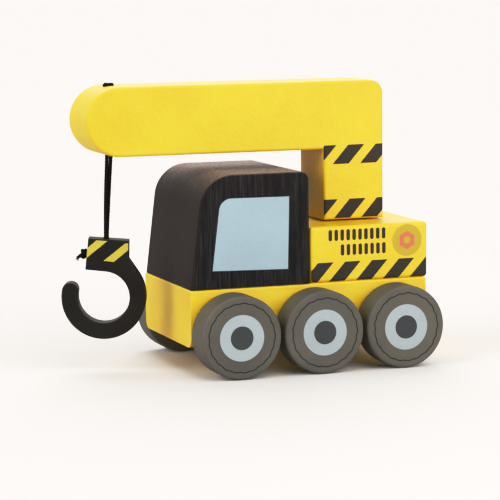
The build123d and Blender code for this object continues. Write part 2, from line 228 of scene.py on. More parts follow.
class NodeKit:
    """Short ways to add and link nodes in one tree."""

    def __init__(self, tree: Tree) -> None:
        """Keeps the tree that the nodes go in."""
        self.tree = tree

    def add(self, kind: str, **settings: object) -> Node:
        """Adds a node.

        Args:
            kind: the node's type name.
            settings: its properties.

        Returns:
            The node.
        """
        node = self.tree.nodes.new(kind)
        for name, value in settings.items():
            setattr(node, name, value)
        return node

    def feed(self, socket: Socket, value: object) -> None:
        """Links an output to an input, or sets the input's value."""
        if isinstance(value, Socket):
            self.tree.links.new(value, socket)
        else:
            socket.default_value = value

    def math(
        self,
        operation: str,
        first: object,
        second: object,
        third: object = None,
        clamp: bool = False,
    ) -> Socket:
        """Adds a math node.

        Args:
            operation: the math operation.
            first: a socket or number.
            second: a socket or number.
            third: a socket or number, for operations that take three.
            clamp: whether the result stays from 0 to 1.

        Returns:
            The result socket.
        """
        node = self.add("ShaderNodeMath", operation=operation, use_clamp=clamp)
        for socket, value in zip(node.inputs, (first, second, third)):
            if value is not None:
                self.feed(socket, value)
        return node.outputs["Value"]

    def noise(
        self, scale: float, detail: float = 2.0, roughness: float = 0.5, vector: object = None
    ) -> Socket:
        """Adds a noise texture, on object coordinates unless another vector is given.

        Args:
            scale: features per metre.
            detail: octaves.
            roughness: weight of the finer octaves.
            vector: the vector socket to read.

        Returns:
            The noise's value, about 0.25 to 0.75.
        """
        node = self.add("ShaderNodeTexNoise")
        node.inputs["Scale"].default_value = scale
        node.inputs["Detail"].default_value = detail
        node.inputs["Roughness"].default_value = roughness
        place = vector or self.add("ShaderNodeTexCoord").outputs["Object"]
        self.tree.links.new(place, node.inputs["Vector"])
        return node.outputs["Fac"]

    def group(self, name: str, **values: float) -> Node:
        """Places a shared group with its own values."""
        node = self.add("ShaderNodeGroup", node_tree=Effects.group(name))
        for label, value in values.items():
            node.inputs[label].default_value = value
        return node

    def ramp(self, value: Socket, span: Flat, start: Colour, end: Colour) -> Socket:
        """Turns a value into a colour between two.

        Args:
            value: the value to read.
            span: where the first colour ends and where the second starts.
            start: the first colour.
            end: the second colour.

        Returns:
            The colour socket.
        """
        node = self.add("ShaderNodeValToRGB")
        first, last = node.color_ramp.elements
        first.position, first.color = span[0], rgba(start)
        last.position, last.color = span[1], rgba(end)
        self.tree.links.new(value, node.inputs["Fac"])
        return node.outputs["Color"]

    def mix(self, factor: object, first: object, second: object) -> Socket:
        """Mixes two colours.

        Args:
            factor: how much of the second, a socket or number.
            first: a colour socket or colour.
            second: a colour socket or colour.

        Returns:
            The mixed colour socket.
        """
        node = self.add("ShaderNodeMix", data_type="RGBA")
        colours = [socket for socket in node.inputs if socket.type == "RGBA"]
        self.feed(node.inputs[0], factor)
        for socket, value in zip(colours, (first, second)):
            self.feed(socket, value if isinstance(value, Socket) else rgba(value))
        return next(socket for socket in node.outputs if socket.type == "RGBA")


# ---- finishes

FINISHED: dict[str, bpy.types.Material] = {}


@dataclass(frozen=True)
class Finish:
    """A finish: its name, its shader's plain numbers, and how its nodes are laid."""

    name: str
    colour: Colour
    roughness: float = 0.5
    specular: float = 0.5
    metallic: float = 0.0
    gloss_swing: float = 0.3  # how much the roughness drifts over the surface
    bump_strength: float = 0.3
    bump_depth: float = 0.00005  # the bump's full depth, in metres

    def material(self) -> bpy.types.Material:
        """Gives the finish's material, and builds it the first time."""
        if self.name not in FINISHED:
            FINISHED[self.name] = self._build()
        return FINISHED[self.name]

    def _build(self) -> bpy.types.Material:
        """Builds the material: the shader's numbers, then this finish's own nodes."""
        material = bpy.data.materials.new(f"{self.name}_finish")
        material.use_nodes = True
        tree = material.node_tree
        shader = tree.nodes["Principled BSDF"]
        shader.inputs["Base Color"].default_value = rgba(self.colour)
        shader.inputs["Roughness"].default_value = self.roughness
        shader.inputs["Specular IOR Level"].default_value = self.specular
        shader.inputs["Metallic"].default_value = self.metallic
        self.lay(NodeKit(tree), shader)
        return material

    def lay(self, kit: NodeKit, shader: Node) -> None:
        """Adds the nodes of this finish.

        Args:
            kit: the material's node kit.
            shader: its Principled shader.
        """
        raise NotImplementedError

    def uneven_gloss(self, kit: NodeKit, shader: Node, value: Socket) -> None:
        """Lets the roughness drift about this finish's own with a value.

        Args:
            kit: the material's node kit.
            shader: its Principled shader.
            value: the value that it follows, about 0.5.
        """
        least = self.roughness - self.gloss_swing / 2
        gloss = kit.math("MULTIPLY_ADD", value, self.gloss_swing, least)
        kit.feed(shader.inputs["Roughness"], gloss)

    def bump(self, kit: NodeKit, shader: Node, height: Socket) -> None:
        """Bumps the shader's normal by a height.

        Args:
            kit: the material's node kit.
            shader: its Principled shader.
            height: the height socket.
        """
        node = kit.add("ShaderNodeBump")
        node.inputs["Strength"].default_value = self.bump_strength
        node.inputs["Distance"].default_value = self.bump_depth
        kit.feed(node.inputs["Height"], height)
        kit.feed(shader.inputs["Normal"], node.outputs["Normal"])


@dataclass(frozen=True)
class Paint(Finish):
    """Satin paint on wood, dimpled, a little deeper in places, with a painted highlight along its
    rounded edges.
    """

    deep: Colour = (0.0, 0.0, 0.0)
    # edge is the painted highlight along rounded edges, and edge_share is how strongly it is
    # painted
    edge: Colour = (1.0, 1.0, 1.0)
    edge_share: float = 0.4
    dimple: float = 1100.0  # dimples per metre
    depth_span: Flat = (0.36, 0.64)
    gloss_swing: float = 0.16
    bump_strength: float = 0.25
    bump_depth: float = 0.0002

    def lay(self, kit: NodeKit, shader: Node) -> None:
        """Adds depth, dimples, the painted edge highlight and uneven gloss."""
        skin = kit.group("paint_skin", Dimple=self.dimple)
        # the edge mask here paints a highlight, lighter where light catches the rounded edges
        wear_and_highlight = kit.group("edge_wear_and_highlight", Width=0.0011, Sharpness=2.6, Break=0.45)
        body = kit.ramp(skin.outputs["Depth"], self.depth_span, self.deep, self.colour)
        share = kit.math("MULTIPLY", wear_and_highlight.outputs["Mask"], self.edge_share)
        kit.feed(shader.inputs["Base Color"], kit.mix(share, body, self.edge))
        self.uneven_gloss(kit, shader, skin.outputs["Depth"])
        self.bump(kit, shader, skin.outputs["Height"])


@dataclass(frozen=True)
class Stain(Finish):
    """Dark stain on open-grained wood: paler in its streaks and rubbed edges, and paler on level
    faces as end grain with a painted sheen.
    """

    streak: Colour = (0.1, 0.1, 0.1)
    brown: Colour = (0.1, 0.08, 0.07)
    # end is the level faces' colour: end grain lifted by a painted sheen
    end: Colour = (0.3, 0.25, 0.2)
    edge: Colour = (0.2, 0.16, 0.1)
    edge_share: float = 0.5
    front_share: float = 0.75  # how much of the brown the planed front shows
    end_sheen_falloff: float = 4.0  # how fast the pale end grain and its painted sheen fade as a face turns from level
    grain_span: Flat = (0.2, 0.38)
    end_sheen_span: Flat = (0.3, 0.78)
    speck_scale: float = 1400.0
    bump_strength: float = 0.35
    bump_depth: float = 0.00004

    def lay(self, kit: NodeKit, shader: Node) -> None:
        """Adds the grain's colour and pores, the pale level faces with their painted sheen, the
        rubbed edges and uneven gloss.
        """
        grain = kit.group("wood_grain")
        wear_and_highlight = kit.group("edge_wear_and_highlight", Width=0.0008, Sharpness=3.2, Break=0.8)
        lines = kit.math("MULTIPLY", grain.outputs["Pores"], grain.outputs["Streaks"])
        sides = kit.ramp(lines, self.grain_span, self.colour, self.streak)
        specks = kit.noise(self.speck_scale, detail=3.0, roughness=0.7)
        speckled = kit.math("MULTIPLY_ADD", specks, 0.5, lines)
        # the level faces' colour: end grain, with a painted sheen of the light from above
        ends = kit.ramp(speckled, self.end_sheen_span, self.brown, self.end)
        facing = kit.add("ShaderNodeSeparateXYZ")
        kit.feed(facing.inputs["Vector"], kit.add("ShaderNodeTexCoord").outputs["Normal"])
        forward = kit.math("MULTIPLY", facing.outputs["X"], -1.0, clamp=True)
        # the more level a face, the more end grain and painted sheen it shows
        level = kit.math("MAXIMUM", facing.outputs["Z"], 0.0)
        end_grain_and_sheen_share = kit.math("POWER", level, self.end_sheen_falloff)
        planed = kit.mix(kit.math("MULTIPLY", forward, self.front_share), sides, self.brown)
        body = kit.mix(end_grain_and_sheen_share, planed, ends)
        share = kit.math("MULTIPLY", wear_and_highlight.outputs["Mask"], self.edge_share)
        kit.feed(shader.inputs["Base Color"], kit.mix(share, body, self.edge))
        self.uneven_gloss(kit, shader, grain.outputs["Pores"])
        self.bump(kit, shader, grain.outputs["Pores"])


@dataclass(frozen=True)
class Ink(Finish):
    """A flat print over wood: slightly uneven in depth, with the skin under it showing."""

    thin: Colour = (0.0, 0.0, 0.0)
    dimple: float = 900.0
    speck_scale: float = 1500.0
    thin_span: Flat = (0.4, 0.62)
    bump_strength: float = 0.25
    bump_depth: float = 0.00004

    def lay(self, kit: NodeKit, shader: Node) -> None:
        """Adds thin spots and the skin's dimples."""
        skin = kit.group("paint_skin", Dimple=self.dimple)
        speck = kit.noise(self.speck_scale, detail=2.0)
        slow = kit.math("MULTIPLY", skin.outputs["Depth"], 0.5)
        spread = kit.math("MULTIPLY_ADD", speck, 0.5, slow)
        body = kit.ramp(spread, self.thin_span, self.colour, self.thin)
        kit.feed(shader.inputs["Base Color"], body)
        self.bump(kit, shader, skin.outputs["Height"])


@dataclass(frozen=True)
class Fibre(Finish):
    """Twisted or pressed fibre: fuzzy, matt, with a slow change of shade."""

    light: Colour = (0.1, 0.1, 0.1)
    fuzz: float = 5200.0  # fibres per metre
    light_span: Flat = (0.38, 0.68)
    bump_strength: float = 0.8
    bump_depth: float = 0.0001

    def lay(self, kit: NodeKit, shader: Node) -> None:
        """Adds fibres in colour and height."""
        fibres = kit.noise(self.fuzz, detail=3.0, roughness=0.65)
        body = kit.ramp(fibres, self.light_span, self.colour, self.light)
        kit.feed(shader.inputs["Base Color"], body)
        self.bump(kit, shader, fibres)


@dataclass(frozen=True)
class BareWood(Finish):
    """Plain birch dowel: pale, with fine streaks."""

    streak: Colour = (0.5, 0.35, 0.2)
    streak_span: Flat = (0.35, 0.7)

    def lay(self, kit: NodeKit, shader: Node) -> None:
        """Adds the streaks and pores."""
        grain = kit.group("wood_grain", Pore=1500.0, Stretch=0.08)
        body = kit.ramp(grain.outputs["Streaks"], self.streak_span, self.colour, self.streak)
        kit.feed(shader.inputs["Base Color"], body)
        self.bump(kit, shader, grain.outputs["Pores"])


@dataclass(frozen=True)
class Steel(Finish):
    """Zinc-plated steel with a faint cloudiness."""

    cloud_scale: float = 900.0
    bump_strength: float = 0.2
    bump_depth: float = 0.00002

    def lay(self, kit: NodeKit, shader: Node) -> None:
        """Adds the clouds to the gloss and a fine tooth to the surface."""
        clouds = kit.noise(self.cloud_scale, detail=3.0)
        self.uneven_gloss(kit, shader, clouds)
        self.bump(kit, shader, clouds)


# Its edge colour is a painted highlight: the pale line along the rounded edges of the blocks and
# the arm.
YELLOW_PAINT = Paint(
    "yellow_paint", linear(249, 211, 46), 0.42, 0.42, deep=linear(245, 202, 36),
    edge=linear(252, 230, 120), edge_share=0.5, dimple=560.0, bump_strength=0.8,
)
# Its edge colour is a painted highlight along the rounded rims of the wheels.
WHEEL_PAINT = Paint(
    "wheel_paint", linear(118, 115, 104), 0.5, 0.2, deep=linear(107, 104, 96),
    edge=linear(134, 128, 116), edge_share=0.3,
)
# Its edge colour is a painted sheen on the hook's edges and the inside of its ring.
HOOK_PAINT = Paint(
    "hook_paint", linear(44, 42, 38), 0.5, 0.1, deep=linear(36, 34, 31),
    edge=linear(104, 84, 72), edge_share=0.6,
)
# Its end colour is end grain lifted by a painted sheen, which lightens the cab's roof.
DARK_STAIN = Stain(
    "dark_stain", linear(31, 29, 29), 0.5, 0.08, streak=linear(60, 57, 58),
    brown=linear(54, 44, 39), end=linear(208, 190, 182), edge=linear(150, 128, 96),
)
BARE_WOOD = BareWood("bare_wood", linear(214, 184, 142), 0.65, 0.3, streak=linear(186, 150, 106))
CORD_BLACK = Fibre("cord_black", linear(20, 16, 14), 0.85, 0.1, light=linear(44, 38, 34))
FELT = Fibre("felt", linear(50, 48, 46), 0.95, 0.1, light=linear(90, 86, 82), fuzz=2600.0)
STEEL = Steel("steel", linear(190, 192, 196), 0.35, 0.5, metallic=1.0)
BLACK_PRINT = Ink("black_print", linear(52, 47, 42), 0.5, 0.25, thin=linear(68, 62, 50))
WINDOW_PRINT = Ink("window_print", linear(174, 195, 205), 0.5, 0.2, thin=linear(167, 188, 198))
RING_PRINT = Ink("ring_print", linear(180, 191, 194), 0.5, 0.2, thin=linear(171, 182, 186))
HUB_PRINT = Ink("hub_print", linear(74, 79, 80), 0.45, 0.3, thin=linear(66, 70, 72))
LINE_PRINT = Ink("line_print", linear(38, 37, 35), 0.5, 0.25, thin=linear(52, 50, 47))
YELLOW_PRINT = Ink("yellow_print", linear(214, 198, 80), 0.5, 0.25, thin=linear(204, 186, 74))
BADGE_PRINT = Ink("badge_print", linear(207, 178, 60), 0.5, 0.25, thin=linear(194, 170, 66))
CORAL_PRINT = Ink("coral_print", linear(228, 140, 104), 0.5, 0.25, thin=linear(216, 126, 94))


# ---- mesh helpers


def make_piece(
    bm: Mesh,
    name: str,
    body: str,
    finish: Finish,
    replaces: tuple[str, ...] = (),
) -> bpy.types.Object:
    """Turns a bmesh into a finished piece that rides on a body.

    Args:
        bm: the mesh, freed here.
        name: the piece's name.
        body: the CAD body that it rides on.
        finish: its finish.
        replaces: CAD nodes that it stands for.

    Returns:
        The object.
    """
    mesh = bpy.data.meshes.new(name)
    bm.to_mesh(mesh)
    bm.free()
    mesh.polygons.foreach_set("use_smooth", [True] * len(mesh.polygons))
    mesh.set_sharp_from_angle(angle=FACET_ANGLE)
    piece = bpy.data.objects.new(name, mesh)
    bpy.context.scene.collection.objects.link(piece)
    mesh.materials.append(finish.material())
    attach(piece, body)
    if replaces:
        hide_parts(*replaces)
    log.info("%s: %d faces on %s", name, len(mesh.polygons), body)
    return piece


def join(target: Mesh, source: Mesh) -> None:
    """Adds one bmesh's geometry to another and frees it."""
    carrier = bpy.data.meshes.new("carrier")
    source.to_mesh(carrier)
    source.free()
    target.from_mesh(carrier)
    bpy.data.meshes.remove(carrier)


def thicken(bm: Mesh, proud: float) -> None:
    """Lifts a flat or curved skin off its surface and closes it with a wall below.

    Args:
        bm: the skin.
        proud: how far its top stands off the surface, in metres.
    """
    bm.normal_update()
    for vert in bm.verts:
        vert.co += vert.normal * proud
    bmesh.ops.solidify(bm, geom=bm.faces[:], thickness=2 * proud)
    bmesh.ops.recalc_face_normals(bm, faces=bm.faces[:])


def trim(bm: Mesh, point: Vector, outward: Vector) -> None:
    """Cuts away everything on a plane's outer side.

    Args:
        bm: the mesh to cut.
        point: a point in the plane.
        outward: the direction of the part that goes.
    """
    everything = bm.verts[:] + bm.edges[:] + bm.faces[:]
    bmesh.ops.bisect_plane(
        bm, geom=everything, dist=ON_PLANE, plane_co=point, plane_no=outward, clear_outer=True
    )


@dataclass(frozen=True)
class Board:
    """A flat frame to draw prints in: right and up along a face, and out of it."""

    origin: Vector
    right: Vector
    up: Vector
    out: Vector

    def matrix(self) -> Matrix:
        """The matrix that takes drawing coordinates to the object's frame."""
        turn = Matrix((self.right, self.up, self.out)).transposed().to_4x4()
        return Matrix.Translation(self.origin) @ turn

    def point(self, right: float, up: float) -> Vector:
        """A point of the drawing, given in millimetres, in the object's frame."""
        return self.origin + (self.right * right + self.up * up) * MM


@dataclass(frozen=True)
class SkinPrint:
    """Prints cut out of a copy of a CAD node's own surface, so that they follow its soft edges."""

    node: str
    board: Board
    depth: float  # how far behind the board the skin is kept, in metres
    front: float = -1.0  # nothing is printed in front of this X, in metres
    proud: float = PRINT_PROUD

    def skin(self) -> Mesh:
        """A merged copy of the node's surface that faces out of the board."""
        bm = bmesh.new()
        bm.from_mesh(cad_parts[self.node].data)
        bmesh.ops.remove_doubles(bm, verts=bm.verts[:], dist=MERGE)
        bm.normal_update()
        hidden = [face for face in bm.faces if face.normal.dot(self.board.out) < FACING]
        bmesh.ops.delete(bm, geom=hidden, context="FACES")
        trim(bm, self.board.origin - self.board.out * self.depth, -self.board.out)
        trim(bm, Vector((self.front, 0, 0)), Vector((-1, 0, 0)))
        return bm

    def convex(self, skin: Mesh, corners: Outline) -> Mesh:
        """A copy of the skin, trimmed to a convex outline by planes square to the board.

        Args:
            skin: the whole skin, left as it is.
            corners: the outline in millimetres on the board, anticlockwise seen from outside.

        Returns:
            The patch.
        """
        bm = skin.copy()
        for start, end in zip(corners, corners[1:] + corners[:1]):
            first, second = self.board.point(*start), self.board.point(*end)
            trim(bm, first, (second - first).cross(self.board.out).normalized())
        return bm

    def collect(self, outlines: list[Outline]) -> Mesh:
        """All the outlines cut from the skin, made into one closed thin print.

        Args:
            outlines: convex outlines in millimetres on the board.

        Returns:
            The print's mesh.
        """
        skin = self.skin()
        whole = bmesh.new()
        for corners in outlines:
            join(whole, self.convex(skin, corners))
        skin.free()
        thicken(whole, self.proud)
        return whole


@dataclass(frozen=True)
class FlatPrint:
    """Plain shapes laid on a flat face."""

    board: Board
    proud: float = PRINT_PROUD

    def _placed(self, bm: Mesh) -> Mesh:
        """Moves a shape from drawing millimetres to its face and gives it its thickness."""
        bmesh.ops.scale(bm, vec=(MM, MM, MM), verts=bm.verts[:])
        bmesh.ops.transform(bm, matrix=self.board.matrix(), verts=bm.verts[:])
        bmesh.ops.recalc_face_normals(bm, faces=bm.faces[:])
        for face in bm.faces:
            if face.normal.dot(self.board.out) < 0:
                face.normal_flip()
        thicken(bm, self.proud)
        return bm

    def disc(self, at: Flat, radius: float, sides: int = 72) -> Mesh:
        """A disc, or a polygon with few sides.

        Args:
            at: its centre in millimetres on the board.
            radius: its radius in millimetres.
            sides: how many sides it has.

        Returns:
            The mesh.
        """
        bm = bmesh.new()
        bmesh.ops.create_circle(bm, cap_ends=True, segments=sides, radius=radius)
        bmesh.ops.translate(bm, vec=(*at, 0), verts=bm.verts[:])
        return self._placed(bm)

    def ring(
        self,
        at: Flat,
        outer: float,
        inner: float,
        sides: int = 96,
        waves: tuple[int, float] = (0, 0.0),
    ) -> Mesh:
        """A ring, whose both edges may wave together.

        Args:
            at: its centre in millimetres on the board.
            outer: outer radius in millimetres.
            inner: inner radius in millimetres.
            sides: how many sides it has.
            waves: how many waves it has, and their height in millimetres.

        Returns:
            The mesh.
        """
        bm = bmesh.new()
        for radius in (outer, inner):
            bmesh.ops.create_circle(bm, cap_ends=False, segments=sides, radius=radius)
        bmesh.ops.bridge_loops(bm, edges=bm.edges[:])
        count, height = waves
        if count:
            for vert in bm.verts:
                angle = math.atan2(vert.co.y, vert.co.x)
                wave = math.cos(count * angle) + 0.5 * math.sin((count // 2 - 1) * angle + 1)
                vert.co *= 1 + height * wave / vert.co.length
        bmesh.ops.translate(bm, vec=(*at, 0), verts=bm.verts[:])
        return self._placed(bm)

    def bar(self, at: Flat, width: float, height: float) -> Mesh:
        """An upright bar with round ends.

        Args:
            at: its centre in millimetres on the board.
            width: its width in millimetres.
            height: its height in millimetres, ends included.

        Returns:
            The mesh.
        """
        bm = bmesh.new()
        segments = 16
        half_step = Matrix.Rotation(math.pi / segments, 4, "Z")
        bmesh.ops.create_circle(
            bm, cap_ends=True, segments=segments, radius=width / 2, matrix=half_step
        )
        for vert in bm.verts:
            vert.co.y += math.copysign((height - width) / 2, vert.co.y)
        bmesh.ops.translate(bm, vec=(*at, 0), verts=bm.verts[:])
        return self._placed(bm)

    def quad(self, corners: Outline, rounded: int, radius: float) -> Mesh:
        """A four-sided shape with one rounded corner.

        Args:
            corners: its corners in millimetres on the board.
            rounded: which corner is rounded.
            radius: how far the rounding reaches along each side, in millimetres.

        Returns:
            The mesh.
        """
        bm = bmesh.new()
        verts = [bm.verts.new((x, y, 0)) for x, y in corners]
        bmesh.ops.contextual_create(bm, geom=verts)
        bmesh.ops.bevel(
            bm, geom=[verts[rounded]], offset=radius, offset_type="OFFSET", affect="VERTICES",
            segments=12, profile=0.5, material=-1,
        )
        return self._placed(bm)


# ---- sub-assemblies


def side_board(side: Side, across: float) -> Board:
    """A board on one side of the truck, drawn in the object's X and Z on both sides.

    Args:
        side: which side.
        across: the face's distance from the middle plane, in metres.

    Returns:
        The board. Its right is always +X, so the two sides mirror each other.
    """
    out = Vector((0, side.value, 0))
    return Board(out * across, Vector((1, 0, 0)), Vector((0, 0, 1)), out)


def boards_on(node: str) -> list[tuple[Side, Board]]:
    """Each side, and the board on a CAD node's face there."""
    return [(side, side_board(side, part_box(node)[1].y)) for side in Side]


def wound(corners: Outline, side: Side) -> Outline:
    """Puts an outline in the order that a board on this side needs."""
    return corners if side is Side.NEAR else corners[::-1]


@dataclass
class Truck:
    """The blocks, their dowels and the prints on the cab and the deck. Millimetres."""

    stripe_low: float = 39.9
    stripe_high: float = 48.7
    stripe_width: float = 7.65
    stripe_pitch: float = 13.45
    stripe_lean: float = 8.0
    first_stripe: float = 27.5  # top left corner of the first whole stripe
    stripe_count: int = 5
    stripe_wrap: float = 0.55
    window: tuple[Flat, ...] = (
        (-23.6, 47.8), (12.8, 46.9), (13.6, 80.1), (-19.5, 80.4),
    )
    window_corner: float = 5.0
    vent_rows: tuple[tuple[float, float, int], ...] = ((33.6, 61.1, 10), (39.6, 54.2, 8))
    vent_pitch: float = 2.95
    vent_width: float = 1.75
    vent_height: float = 5.2
    badge_at: Flat = (71.9, 57.2)
    badge_radius: float = 7.4
    nut_radius: float = 4.3
    nut_bore: float = 1.9
    nut_proud: float = 0.08

    def dress(self) -> None:
        """Gives the blocks, dowels and washer their finishes."""
        dress("chassis", YELLOW_PAINT)
        dress("rear_deck", YELLOW_PAINT)
        dress("cab", DARK_STAIN)
        dress("glue_dowels", BARE_WOOD)
        dress("thrust_washer", FELT)

    def stripe(self, index: int) -> Outline:
        """The outline of one slanting stripe on the deck's side."""
        top = self.first_stripe + (index - 1) * self.stripe_pitch
        foot = top - self.stripe_lean
        return [
            (foot, self.stripe_low), (foot + self.stripe_width, self.stripe_low),
            (top + self.stripe_width, self.stripe_high), (top, self.stripe_high),
        ]

    def print_stripes(self) -> None:
        """The slanting stripes along the foot of both sides of the deck."""
        whole = bmesh.new()
        for side, board in boards_on("rear_deck"):
            skin = SkinPrint("rear_deck", board, self.stripe_wrap * MM)
            outlines = [wound(self.stripe(i), side) for i in range(self.stripe_count + 1)]
            join(whole, skin.collect(outlines))
        make_piece(whole, "deck_stripes", "truck", BLACK_PRINT)

    def print_windows(self) -> None:
        """The pale window on both sides of the cab."""
        whole = bmesh.new()
        for _, board in boards_on("cab"):
            join(whole, FlatPrint(board).quad(list(self.window), 3, self.window_corner))
        make_piece(whole, "cab_windows", "truck", WINDOW_PRINT)

    def print_vents(self) -> None:
        """Two rows of upright vent bars on both sides of the deck."""
        whole = bmesh.new()
        for _, board in boards_on("rear_deck"):
            for start, middle, count in self.vent_rows:
                for place in range(count):
                    at = (start + place * self.vent_pitch, middle)
                    join(whole, FlatPrint(board).bar(at, self.vent_width, self.vent_height))
        make_piece(whole, "vent_bars", "truck", BLACK_PRINT)

    def print_badges(self) -> None:
        """A round badge with a plain hexagon nut on both sides of the deck."""
        discs, nuts = bmesh.new(), bmesh.new()
        for _, board in boards_on("rear_deck"):
            join(discs, FlatPrint(board).disc(self.badge_at, self.badge_radius))
            above = FlatPrint(board, proud=self.nut_proud * MM)
            join(nuts, above.ring(self.badge_at, self.nut_radius, self.nut_bore, sides=6))
        make_piece(discs, "badge_discs", "truck", BADGE_PRINT)
        make_piece(nuts, "badge_nuts", "truck", CORAL_PRINT)


def dress(node: str, finish: Finish) -> None:
    """Gives a CAD node its finish, as its only material.

    Args:
        node: the CAD node.
        finish: its finish.
    """
    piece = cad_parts[node]
    piece.data.materials.clear()
    piece.data.materials.append(finish.material())
    log.info("%s: %s", node, finish.name)


@dataclass
class Arm:
    """The turning arm, its pivot parts and the stripes on its mast. Millimetres."""

    upper_low: float = 92.1
    upper_high: float = 100.9
    lower_low: float = 66.8
    lower_high: float = 75.6
    stripe_lean: float = 7.9
    stripe_width: float = 8.0
    upper_tops: tuple[float, ...] = (36.4, 50.4, 64.3)
    lower_tops: tuple[float, ...] = (36.9, 51.0, 64.8)
    wrap: float = 0.65
    mast_front: float = 38.1

    def dress(self) -> None:
        """Gives the arm and its pivot parts their finishes."""
        dress("crane_arm", YELLOW_PAINT)
        dress("slew_pivot", BARE_WOOD)
        dress("retainer_washer", STEEL)
        dress("slew_screw", STEEL)

    def band(self, tops: tuple[float, ...], low: float, high: float) -> list[Outline]:
        """The outlines of one band's stripes.

        Args:
            tops: each stripe's top left corner along X.
            low: the band's foot.
            high: the band's top.

        Returns:
            The outlines.
        """
        return [
            [
                (top - self.stripe_lean, low), (top - self.stripe_lean + self.stripe_width, low),
                (top + self.stripe_width, high), (top, high),
            ]
            for top in tops
        ]

    def print_stripes(self) -> None:
        """Two bands of slanting stripes on both sides of the mast."""
        whole = bmesh.new()
        for side, board in boards_on("crane_arm"):
            skin = SkinPrint("crane_arm", board, self.wrap * MM, self.mast_front * MM)
            outlines = self.band(self.upper_tops, self.upper_low, self.upper_high)
            outlines += self.band(self.lower_tops, self.lower_low, self.lower_high)
            join(whole, skin.collect([wound(outline, side) for outline in outlines]))
        make_piece(whole, "mast_stripes", "arm", BLACK_PRINT)


@dataclass
class WheelRow:
    """One axle with its two wheels and the prints on their faces. Millimetres."""

    row: str
    axle_height: float = 19.0
    hub_radius: float = 5.37
    hub_lap: float = 0.1  # how far the hub's disc lies over the ring
    hub_proud: float = 0.07
    ring_radius: float = 10.51
    line_radius: float = 15.65
    line_width: float = 0.5
    line_waves: tuple[int, float] = (21, 0.16)
    line_sides: int = 252

    def build(self) -> None:
        """Dresses the wheels and axle and lays the ring, hub and wavy line on both faces."""
        body = f"{self.row}_wheels"
        dress(f"{self.row}_axle", BARE_WOOD)
        rings, hubs, lines = bmesh.new(), bmesh.new(), bmesh.new()
        for side, name in ((Side.NEAR, "near"), (Side.FAR, "far")):
            node = f"{self.row}_wheel_{name}"
            dress(node, WHEEL_PAINT)
            low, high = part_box(node)
            board = side_board(side, max(abs(low.y), abs(high.y)))
            at = ((low.x + high.x) / 2 / MM, self.axle_height)
            flat = FlatPrint(board)
            join(rings, flat.ring(at, self.ring_radius, self.hub_radius - self.hub_lap))
            join(hubs, FlatPrint(board, proud=self.hub_proud * MM).disc(at, self.hub_radius))
            outer = self.line_radius + self.line_width / 2
            inner = self.line_radius - self.line_width / 2
            join(lines, flat.ring(at, outer, inner, self.line_sides, self.line_waves))
        make_piece(rings, f"{self.row}_ring_prints", body, RING_PRINT)
        make_piece(hubs, f"{self.row}_hub_prints", body, HUB_PRINT)
        make_piece(lines, f"{self.row}_line_prints", body, LINE_PRINT)


